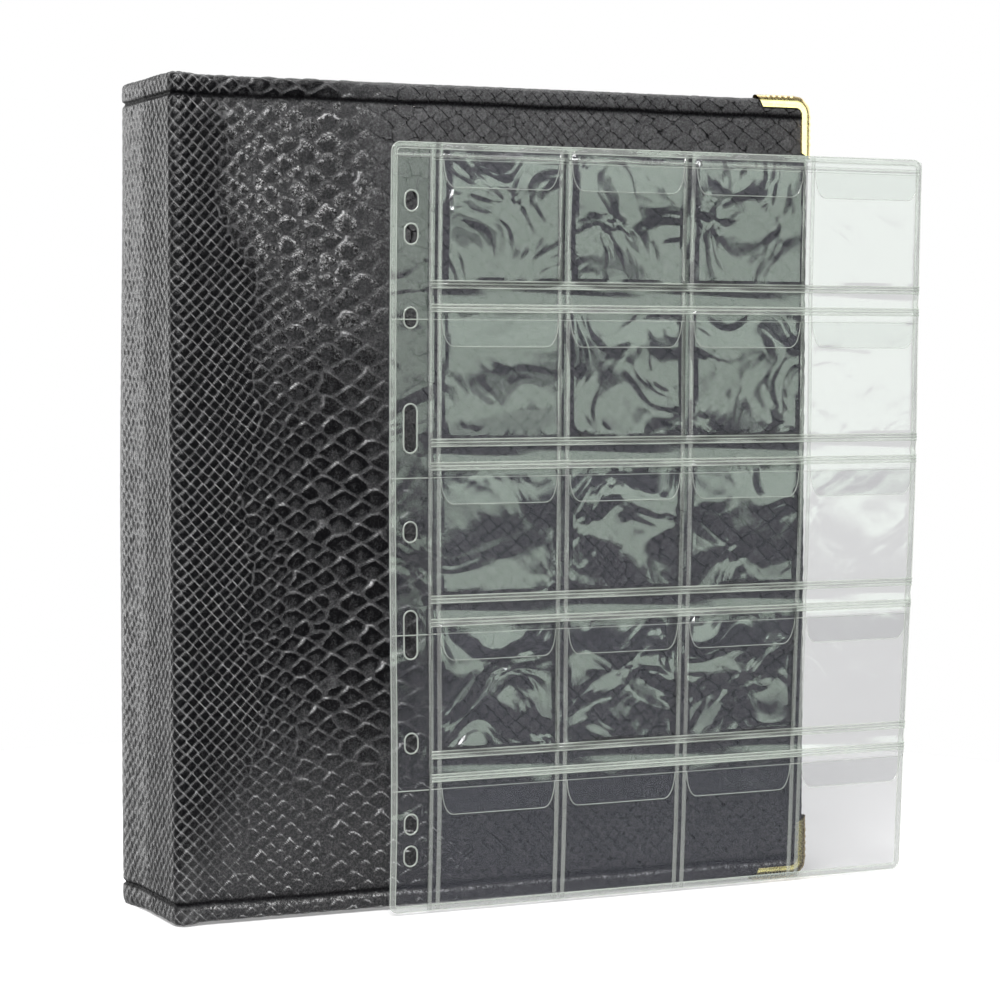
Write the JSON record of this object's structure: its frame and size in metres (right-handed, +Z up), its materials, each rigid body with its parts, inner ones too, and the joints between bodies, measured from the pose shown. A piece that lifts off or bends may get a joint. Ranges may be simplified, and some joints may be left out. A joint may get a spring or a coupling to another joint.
{
  "type": "coin album",
  "caption": "Ring album for coins: padded covers hinged on a spine, D-ring mechanism, clear pocket pages, and one loose pocket page stood in front.",
  "frame": {"origin": "middle of the back cover's foot, on the surface that the album stands on", "axes": "+X from the spine to the fore-edge, +Y out of the back cover, +Z up"},
  "size_m": [0.2684, 0.0739, 0.271],
  "materials": {
    "leatherette": "black snake-grain leatherette, glossy",
    "padding": "soft foam sheet",
    "board": "grey board",
    "liner": "black embossed paper",
    "brass": "pale polished brass, milled edge",
    "steel": "nickel-plated steel",
    "film": "clear soft film"
  },
  "bodies": {
    "back_cover": {"back_cover_skin": "leatherette", "back_cover_padding": "padding", "back_cover_board": "board", "back_cover_liner": "liner", "back_cover_corner_bottom": "brass", "back_cover_corner_top": "brass", "ring_plate": "steel", "ring_post_1": "steel", "ring_post_2": "steel", "ring_post_3": "steel", "ring_post_4": "steel", "ring_rivet_bottom": "steel", "ring_rivet_top": "steel", "page_1_margin": "film", "page_2_margin": "film", "page_3_margin": "film", "page_4_margin": "film", "page_5_margin": "film", "page_6_margin": "film", "page_7_margin": "film", "page_8_margin": "film", "page_9_margin": "film"},
    "front_cover": {"front_cover_skin": "leatherette", "front_cover_padding": "padding", "front_cover_board": "board", "front_cover_liner": "liner", "front_cover_corner_bottom": "brass", "front_cover_corner_top": "brass"},
    "spine": {"spine_skin": "leatherette", "spine_board": "board", "spine_liner": "liner"},
    "ring_swing": {"ring_blade": "steel", "ring_arch_1": "steel", "ring_arch_2": "steel", "ring_arch_3": "steel", "ring_arch_4": "steel"},
    "lever_bottom": {"ring_lever_bottom": "steel"},
    "lever_top": {"ring_lever_top": "steel"},
    "page_1": {"page_1_panel": "film"},
    "page_2": {"page_2_panel": "film"},
    "page_3": {"page_3_panel": "film"},
    "page_4": {"page_4_panel": "film"},
    "page_5": {"page_5_panel": "film"},
    "page_6": {"page_6_panel": "film"},
    "page_7": {"page_7_panel": "film"},
    "page_8": {"page_8_panel": "film"},
    "page_9": {"page_9_panel": "film"},
    "loose_page": {"loose_page_back_film": "film", "loose_page_pocket_film_1": "film", "loose_page_flap_1": "film", "loose_page_pocket_film_2": "film", "loose_page_flap_2": "film", "loose_page_pocket_film_3": "film", "loose_page_flap_3": "film", "loose_page_pocket_film_4": "film", "loose_page_flap_4": "film", "loose_page_pocket_film_5": "film", "loose_page_flap_5": "film"}
  },
  "joints": [
    {"name": "spine_hinge", "type": "hinge", "parent": "back_cover", "child": "spine", "pos_m": [-0.11575, 0.0024, 0], "axis": [0, 0, -1], "range_deg": [0, 90]},
    {"name": "cover_hinge", "type": "hinge", "parent": "spine", "child": "front_cover", "pos_m": [-0.11575, -0.0511, 0], "axis": [0, 0, -1], "range_deg": [0, 170]},
    {"name": "ring_open", "type": "hinge", "parent": "back_cover", "child": "ring_swing", "pos_m": [-0.10325, -0.00445, 0], "axis": [0, 0, -1], "range_deg": [0, 12]},
    {"name": "loose_page_lift", "type": "slide", "parent": "front_cover", "child": "loose_page", "axis": [0, 0, 1], "range_m": [0, 0.27]},
    {"name": "lever_top_press", "type": "hinge", "parent": "back_cover", "child": "lever_top", "pos_m": [-0.09375, -0.00735, 0.2495], "axis": [-1, 0, 0], "range_deg": [0, 24]},
    {"name": "lever_bottom_press", "type": "hinge", "parent": "back_cover", "child": "lever_bottom", "pos_m": [-0.09375, -0.00735, 0.0215], "axis": [1, 0, 0], "range_deg": [0, 24]},
    {"name": "page_1_turn", "type": "hinge", "parent": "back_cover", "child": "page_1", "pos_m": [-0.07735, -0.01195, 0], "axis": [0, 0, -1], "range_deg": [0, 7]},
    {"name": "page_2_turn", "type": "hinge", "parent": "back_cover", "child": "page_2", "pos_m": [-0.07735, -0.01465, 0], "axis": [0, 0, -1], "range_deg": [0, 14]},
    {"name": "page_3_turn", "type": "hinge", "parent": "back_cover", "child": "page_3", "pos_m": [-0.07735, -0.01735, 0], "axis": [0, 0, -1], "range_deg": [0, 21]},
    {"name": "page_4_turn", "type": "hinge", "parent": "back_cover", "child": "page_4", "pos_m": [-0.07735, -0.02005, 0], "axis": [0, 0, -1], "range_deg": [0, 28]},
    {"name": "page_5_turn", "type": "hinge", "parent": "back_cover", "child": "page_5", "pos_m": [-0.07735, -0.02275, 0], "axis": [0, 0, -1], "range_deg": [0, 35]},
    {"name": "page_6_turn", "type": "hinge", "parent": "back_cover", "child": "page_6", "pos_m": [-0.07735, -0.02545, 0], "axis": [0, 0, -1], "range_deg": [0, 42]},
    {"name": "page_7_turn", "type": "hinge", "parent": "back_cover", "child": "page_7", "pos_m": [-0.07735, -0.02815, 0], "axis": [0, 0, -1], "range_deg": [0, 49]},
    {"name": "page_8_turn", "type": "hinge", "parent": "back_cover", "child": "page_8", "pos_m": [-0.07735, -0.03085, 0], "axis": [0, 0, -1], "range_deg": [0, 56]},
    {"name": "page_9_turn", "type": "hinge", "parent": "back_cover", "child": "page_9", "pos_m": [-0.07735, -0.03355, 0], "axis": [0, 0, -1], "range_deg": [0, 63]}
  ],
  "couplings": [
    {"joint": "lever_top_press", "follows": "ring_open", "ratio": 1.66},
    {"joint": "lever_bottom_press", "follows": "ring_open", "ratio": 1.66},
    {"joint": "page_1_turn", "follows": "cover_hinge", "ratio": 0.041},
    {"joint": "page_2_turn", "follows": "cover_hinge", "ratio": 0.082},
    {"joint": "page_3_turn", "follows": "cover_hinge", "ratio": 0.123},
    {"joint": "page_4_turn", "follows": "cover_hinge", "ratio": 0.164},
    {"joint": "page_5_turn", "follows": "cover_hinge", "ratio": 0.205},
    {"joint": "page_6_turn", "follows": "cover_hinge", "ratio": 0.246},
    {"joint": "page_7_turn", "follows": "cover_hinge", "ratio": 0.287},
    {"joint": "page_8_turn", "follows": "cover_hinge", "ratio": 0.328},
    {"joint": "page_9_turn", "follows": "cover_hinge", "ratio": 0.369}
  ]
}
